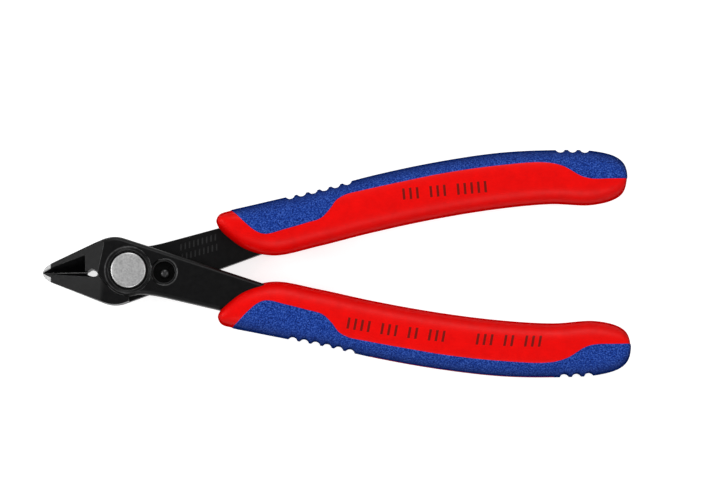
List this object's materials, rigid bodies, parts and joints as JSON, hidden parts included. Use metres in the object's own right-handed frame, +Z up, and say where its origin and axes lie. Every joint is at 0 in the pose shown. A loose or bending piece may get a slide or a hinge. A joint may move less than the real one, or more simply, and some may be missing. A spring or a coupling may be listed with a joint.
{
  "type": "flush cutter",
  "caption": "Electronics flush cutter: two crossing steel halves on a flush rivet, with an opening spring and stop, and two-component grips.",
  "frame": {"origin": "middle of the closed tool's footprint, on the surface it lies on", "axes": "+X along the tool from the tip to the grips' ends, +Y across it towards the upper grip, +Z up through the front face, along the pivot"},
  "size_m": [0.125, 0.0484, 0.011],
  "materials": {
    "burnished_steel": "burnished black, satin, bright at the ground tips",
    "ground_steel": "satin ground",
    "pin_steel": "blackened, satin",
    "spring_steel": "drawn wire",
    "hard_plastic": "moulded, satin gloss",
    "soft_plastic": "moulded soft plastic with a fine grain"
  },
  "bodies": {
    "front": {"front_half": "burnished_steel", "pivot_rivet": "ground_steel", "rivet_collar": "ground_steel", "opening_spring": "spring_steel", "lower_grip_core": "hard_plastic", "lower_grip_overlay": "soft_plastic"},
    "rear": {"rear_half": "burnished_steel", "stop_pin": "pin_steel", "upper_grip_core": "hard_plastic", "upper_grip_overlay": "soft_plastic"}
  },
  "joints": [
    {"name": "pivot", "type": "hinge", "parent": "front", "child": "rear", "pos_m": [-0.04405, 0, 0.0055], "axis": [0, 0, 1], "range_deg": [0, 11.5], "stiffness_Nm_per_rad": 0.18, "springref_deg": 28.65, "deforming": ["opening_spring"]}
  ]
}
